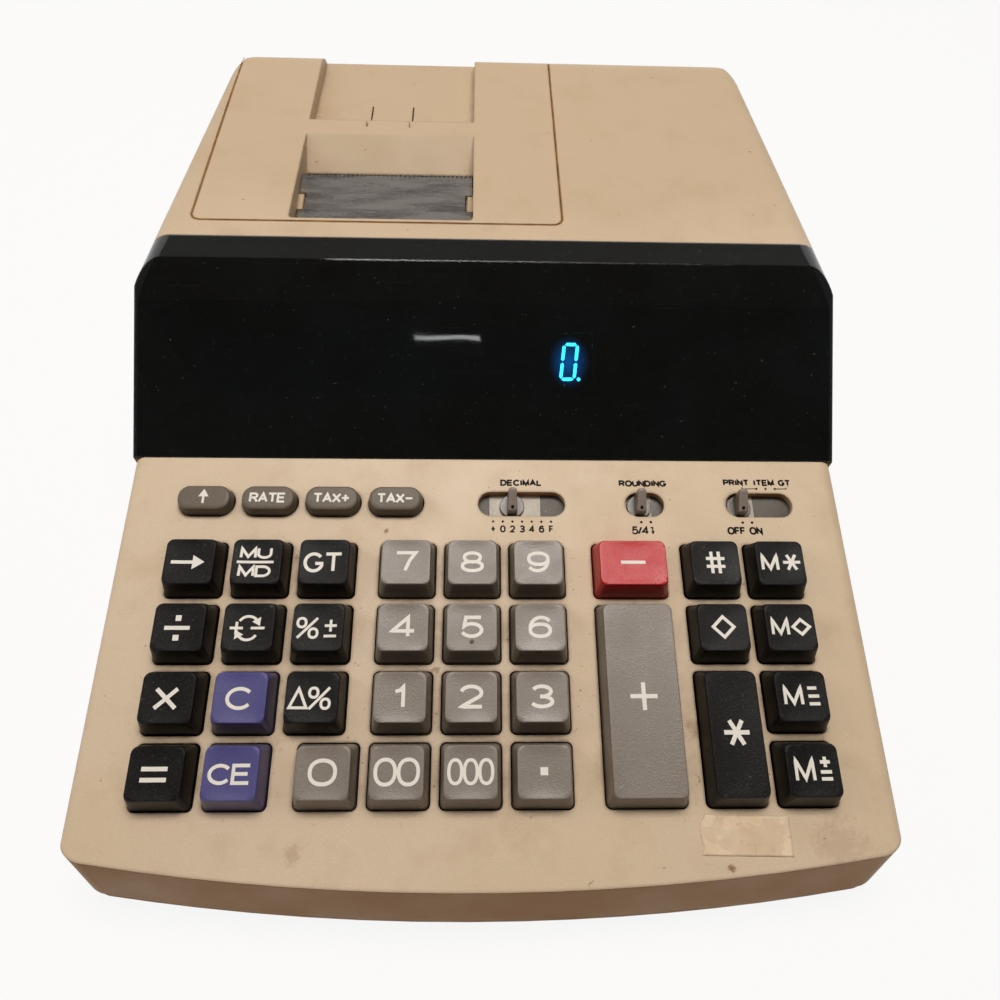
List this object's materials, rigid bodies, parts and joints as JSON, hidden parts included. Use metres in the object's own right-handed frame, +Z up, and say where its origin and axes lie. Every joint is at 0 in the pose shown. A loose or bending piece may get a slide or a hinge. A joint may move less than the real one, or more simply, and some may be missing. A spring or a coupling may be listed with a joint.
{
  "type": "printing calculator",
  "caption": "Desktop printing calculator: sloping deck of keys, slide switches, wide dark display window, and a printer with tear-off plate and paper tray under a sliding rear cover.",
  "frame": {"origin": "on the table under the middle of the case's box", "axes": "+X to the right, +Y to the rear, +Z up"},
  "size_m": [0.22, 0.3082, 0.0756],
  "materials": {
    "case_plastic": "fine-grained beige moulding, yellowed with age",
    "window_plastic": "polished dark sheet",
    "tube_glass": "dark flat glass envelope",
    "clear_plastic": "clear moulding with fine scratches",
    "circuit_board": "solder mask",
    "contact_rubber": "soft matt",
    "transformer_core": "varnished laminations",
    "plate_steel": "plain sheet",
    "drum_plastic": "moulded type bands",
    "ink_foam": "inked foam",
    "feed_rubber": "ground rubber",
    "gear_plastic": "natural moulding",
    "switch_plastic": "grey moulding",
    "foot_rubber": "soft matt",
    "screw_steel": "zinc plated",
    "bush_rubber": "soft matt",
    "lever_plastic": "grey moulding",
    "key_charcoal": "fine-grained, worn smooth on top",
    "key_grey": "fine-grained, worn smooth on top",
    "key_red": "fine-grained, worn smooth on top",
    "key_violet": "fine-grained, worn smooth on top"
  },
  "bodies": {
    "case": {"upper_case": "case_plastic", "lower_case": "case_plastic", "display_window": "window_plastic", "display_tube": "tube_glass", "circuit_boards": "circuit_board", "contact_sheet": "contact_rubber", "transformer": "transformer_core", "printer_frame": "plate_steel", "printer_motor": "plate_steel", "switch_bodies": "switch_plastic", "rubber_feet": "foot_rubber", "screws": "screw_steel", "rear_panel": "case_plastic", "cord_bush": "bush_rubber"},
    "cover": {"printer_cover": "case_plastic", "paper_cutter": "clear_plastic"},
    "drum": {"print_drum": "drum_plastic"},
    "ink": {"ink_roller": "ink_foam"},
    "feed": {"feed_roller": "feed_rubber"},
    "pinion": {"motor_pinion": "gear_plastic"},
    "lever_decimal": {"lever_decimal": "lever_plastic"},
    "lever_rounding": {"lever_rounding": "lever_plastic"},
    "lever_print": {"lever_print": "lever_plastic"},
    "key_shift": {"key_shift": "key_charcoal"},
    "key_markup": {"key_markup": "key_charcoal"},
    "key_grand_total": {"key_grand_total": "key_charcoal"},
    "key_7": {"key_7": "key_grey"},
    "key_8": {"key_8": "key_grey"},
    "key_9": {"key_9": "key_grey"},
    "key_minus": {"key_minus": "key_red"},
    "key_count": {"key_count": "key_charcoal"},
    "key_memory_total": {"key_memory_total": "key_charcoal"},
    "key_divide": {"key_divide": "key_charcoal"},
    "key_sign": {"key_sign": "key_charcoal"},
    "key_percent": {"key_percent": "key_charcoal"},
    "key_4": {"key_4": "key_grey"},
    "key_5": {"key_5": "key_grey"},
    "key_6": {"key_6": "key_grey"},
    "key_plus": {"key_plus": "key_grey"},
    "key_subtotal": {"key_subtotal": "key_charcoal"},
    "key_memory_subtotal": {"key_memory_subtotal": "key_charcoal"},
    "key_multiply": {"key_multiply": "key_charcoal"},
    "key_clear": {"key_clear": "key_violet"},
    "key_change": {"key_change": "key_charcoal"},
    "key_1": {"key_1": "key_grey"},
    "key_2": {"key_2": "key_grey"},
    "key_3": {"key_3": "key_grey"},
    "key_total": {"key_total": "key_charcoal"},
    "key_memory_minus": {"key_memory_minus": "key_charcoal"},
    "key_equals": {"key_equals": "key_charcoal"},
    "key_clear_entry": {"key_clear_entry": "key_violet"},
    "key_0": {"key_0": "key_grey"},
    "key_00": {"key_00": "key_grey"},
    "key_000": {"key_000": "key_grey"},
    "key_point": {"key_point": "key_grey"},
    "key_memory_plus": {"key_memory_plus": "key_charcoal"},
    "key_paper_feed": {"key_paper_feed": "key_grey"},
    "key_rate": {"key_rate": "key_grey"},
    "key_tax_plus": {"key_tax_plus": "key_grey"},
    "key_tax_minus": {"key_tax_minus": "key_grey"}
  },
  "joints": [
    {"name": "cover_slide", "type": "slide", "parent": "case", "child": "cover", "axis": [0, 0.9994, -0.0349], "range_m": [0, 0.11]},
    {"name": "drum_turn", "type": "hinge", "parent": "case", "child": "drum", "pos_m": [-0.0353, 0.07374, 0.0475], "axis": [1, 0, 0], "continuous": true},
    {"name": "feed_turn", "type": "hinge", "parent": "case", "child": "feed", "pos_m": [-0.0353, 0.05058, 0.0357], "axis": [1, 0, 0], "continuous": true},
    {"name": "pinion_turn", "type": "hinge", "parent": "case", "child": "pinion", "pos_m": [-0.0353, 0.09317, 0.03717], "axis": [1, 0, 0], "continuous": true},
    {"name": "ink_turn", "type": "hinge", "parent": "case", "child": "ink", "pos_m": [-0.0353, 0.08656, 0.0549], "axis": [1, 0, 0], "continuous": true},
    {"name": "lever_decimal_slide", "type": "slide", "parent": "case", "child": "lever_decimal", "axis": [1, 0, 0], "range_m": [-0.00588, 0.01176]},
    {"name": "lever_rounding_slide", "type": "slide", "parent": "case", "child": "lever_rounding", "axis": [1, 0, 0], "range_m": [0, 0.00294]},
    {"name": "lever_print_slide", "type": "slide", "parent": "case", "child": "lever_print", "axis": [1, 0, 0], "range_m": [0, 0.01176]},
    {"name": "key_shift_press", "type": "slide", "parent": "case", "child": "key_shift", "axis": [0, 0.1392, -0.9903], "range_m": [0, 0.003], "stiffness_N_per_m": 250, "springref_m": -0.002},
    {"name": "key_markup_press", "type": "slide", "parent": "case", "child": "key_markup", "axis": [0, 0.1392, -0.9903], "range_m": [0, 0.003], "stiffness_N_per_m": 250, "springref_m": -0.002},
    {"name": "key_grand_total_press", "type": "slide", "parent": "case", "child": "key_grand_total", "axis": [0, 0.1392, -0.9903], "range_m": [0, 0.003], "stiffness_N_per_m": 250, "springref_m": -0.002},
    {"name": "key_7_press", "type": "slide", "parent": "case", "child": "key_7", "axis": [0, 0.1392, -0.9903], "range_m": [0, 0.003], "stiffness_N_per_m": 250, "springref_m": -0.002},
    {"name": "key_8_press", "type": "slide", "parent": "case", "child": "key_8", "axis": [0, 0.1392, -0.9903], "range_m": [0, 0.003], "stiffness_N_per_m": 250, "springref_m": -0.002},
    {"name": "key_9_press", "type": "slide", "parent": "case", "child": "key_9", "axis": [0, 0.1392, -0.9903], "range_m": [0, 0.003], "stiffness_N_per_m": 250, "springref_m": -0.002},
    {"name": "key_minus_press", "type": "slide", "parent": "case", "child": "key_minus", "axis": [0, 0.1392, -0.9903], "range_m": [0, 0.003], "stiffness_N_per_m": 250, "springref_m": -0.002},
    {"name": "key_count_press", "type": "slide", "parent": "case", "child": "key_count", "axis": [0, 0.1392, -0.9903], "range_m": [0, 0.003], "stiffness_N_per_m": 250, "springref_m": -0.002},
    {"name": "key_memory_total_press", "type": "slide", "parent": "case", "child": "key_memory_total", "axis": [0, 0.1392, -0.9903], "range_m": [0, 0.003], "stiffness_N_per_m": 250, "springref_m": -0.002},
    {"name": "key_divide_press", "type": "slide", "parent": "case", "child": "key_divide", "axis": [0, 0.1392, -0.9903], "range_m": [0, 0.003], "stiffness_N_per_m": 250, "springref_m": -0.002},
    {"name": "key_sign_press", "type": "slide", "parent": "case", "child": "key_sign", "axis": [0, 0.1392, -0.9903], "range_m": [0, 0.003], "stiffness_N_per_m": 250, "springref_m": -0.002},
    {"name": "key_percent_press", "type": "slide", "parent": "case", "child": "key_percent", "axis": [0, 0.1392, -0.9903], "range_m": [0, 0.003], "stiffness_N_per_m": 250, "springref_m": -0.002},
    {"name": "key_4_press", "type": "slide", "parent": "case", "child": "key_4", "axis": [0, 0.1392, -0.9903], "range_m": [0, 0.003], "stiffness_N_per_m": 250, "springref_m": -0.002},
    {"name": "key_5_press", "type": "slide", "parent": "case", "child": "key_5", "axis": [0, 0.1392, -0.9903], "range_m": [0, 0.003], "stiffness_N_per_m": 250, "springref_m": -0.002},
    {"name": "key_6_press", "type": "slide", "parent": "case", "child": "key_6", "axis": [0, 0.1392, -0.9903], "range_m": [0, 0.003], "stiffness_N_per_m": 250, "springref_m": -0.002},
    {"name": "key_plus_press", "type": "slide", "parent": "case", "child": "key_plus", "axis": [0, 0.1392, -0.9903], "range_m": [0, 0.003], "stiffness_N_per_m": 250, "springref_m": -0.002},
    {"name": "key_subtotal_press", "type": "slide", "parent": "case", "child": "key_subtotal", "axis": [0, 0.1392, -0.9903], "range_m": [0, 0.003], "stiffness_N_per_m": 250, "springref_m": -0.002},
    {"name": "key_memory_subtotal_press", "type": "slide", "parent": "case", "child": "key_memory_subtotal", "axis": [0, 0.1392, -0.9903], "range_m": [0, 0.003], "stiffness_N_per_m": 250, "springref_m": -0.002},
    {"name": "key_multiply_press", "type": "slide", "parent": "case", "child": "key_multiply", "axis": [0, 0.1392, -0.9903], "range_m": [0, 0.003], "stiffness_N_per_m": 250, "springref_m": -0.002},
    {"name": "key_clear_press", "type": "slide", "parent": "case", "child": "key_clear", "axis": [0, 0.1392, -0.9903], "range_m": [0, 0.003], "stiffness_N_per_m": 250, "springref_m": -0.002},
    {"name": "key_change_press", "type": "slide", "parent": "case", "child": "key_change", "axis": [0, 0.1392, -0.9903], "range_m": [0, 0.003], "stiffness_N_per_m": 250, "springref_m": -0.002},
    {"name": "key_1_press", "type": "slide", "parent": "case", "child": "key_1", "axis": [0, 0.1392, -0.9903], "range_m": [0, 0.003], "stiffness_N_per_m": 250, "springref_m": -0.002},
    {"name": "key_2_press", "type": "slide", "parent": "case", "child": "key_2", "axis": [0, 0.1392, -0.9903], "range_m": [0, 0.003], "stiffness_N_per_m": 250, "springref_m": -0.002},
    {"name": "key_3_press", "type": "slide", "parent": "case", "child": "key_3", "axis": [0, 0.1392, -0.9903], "range_m": [0, 0.003], "stiffness_N_per_m": 250, "springref_m": -0.002},
    {"name": "key_total_press", "type": "slide", "parent": "case", "child": "key_total", "axis": [0, 0.1392, -0.9903], "range_m": [0, 0.003], "stiffness_N_per_m": 250, "springref_m": -0.002},
    {"name": "key_memory_minus_press", "type": "slide", "parent": "case", "child": "key_memory_minus", "axis": [0, 0.1392, -0.9903], "range_m": [0, 0.003], "stiffness_N_per_m": 250, "springref_m": -0.002},
    {"name": "key_equals_press", "type": "slide", "parent": "case", "child": "key_equals", "axis": [0, 0.1392, -0.9903], "range_m": [0, 0.003], "stiffness_N_per_m": 250, "springref_m": -0.002},
    {"name": "key_clear_entry_press", "type": "slide", "parent": "case", "child": "key_clear_entry", "axis": [0, 0.1392, -0.9903], "range_m": [0, 0.003], "stiffness_N_per_m": 250, "springref_m": -0.002},
    {"name": "key_0_press", "type": "slide", "parent": "case", "child": "key_0", "axis": [0, 0.1392, -0.9903], "range_m": [0, 0.003], "stiffness_N_per_m": 250, "springref_m": -0.002},
    {"name": "key_00_press", "type": "slide", "parent": "case", "child": "key_00", "axis": [0, 0.1392, -0.9903], "range_m": [0, 0.003], "stiffness_N_per_m": 250, "springref_m": -0.002},
    {"name": "key_000_press", "type": "slide", "parent": "case", "child": "key_000", "axis": [0, 0.1392, -0.9903], "range_m": [0, 0.003], "stiffness_N_per_m": 250, "springref_m": -0.002},
    {"name": "key_point_press", "type": "slide", "parent": "case", "child": "key_point", "axis": [0, 0.1392, -0.9903], "range_m": [0, 0.003], "stiffness_N_per_m": 250, "springref_m": -0.002},
    {"name": "key_memory_plus_press", "type": "slide", "parent": "case", "child": "key_memory_plus", "axis": [0, 0.1392, -0.9903], "range_m": [0, 0.003], "stiffness_N_per_m": 250, "springref_m": -0.002},
    {"name": "key_paper_feed_press", "type": "slide", "parent": "case", "child": "key_paper_feed", "axis": [0, 0.1392, -0.9903], "range_m": [0, 0.003], "stiffness_N_per_m": 250, "springref_m": -0.002},
    {"name": "key_rate_press", "type": "slide", "parent": "case", "child": "key_rate", "axis": [0, 0.1392, -0.9903], "range_m": [0, 0.003], "stiffness_N_per_m": 250, "springref_m": -0.002},
    {"name": "key_tax_plus_press", "type": "slide", "parent": "case", "child": "key_tax_plus", "axis": [0, 0.1392, -0.9903], "range_m": [0, 0.003], "stiffness_N_per_m": 250, "springref_m": -0.002},
    {"name": "key_tax_minus_press", "type": "slide", "parent": "case", "child": "key_tax_minus", "axis": [0, 0.1392, -0.9903], "range_m": [0, 0.003], "stiffness_N_per_m": 250, "springref_m": -0.002}
  ],
  "couplings": [
    {"joint": "feed_turn", "follows": "drum_turn", "ratio": -1.6},
    {"joint": "pinion_turn", "follows": "drum_turn", "ratio": -2.6667},
    {"joint": "ink_turn", "follows": "drum_turn", "ratio": -1.6364}
  ]
}
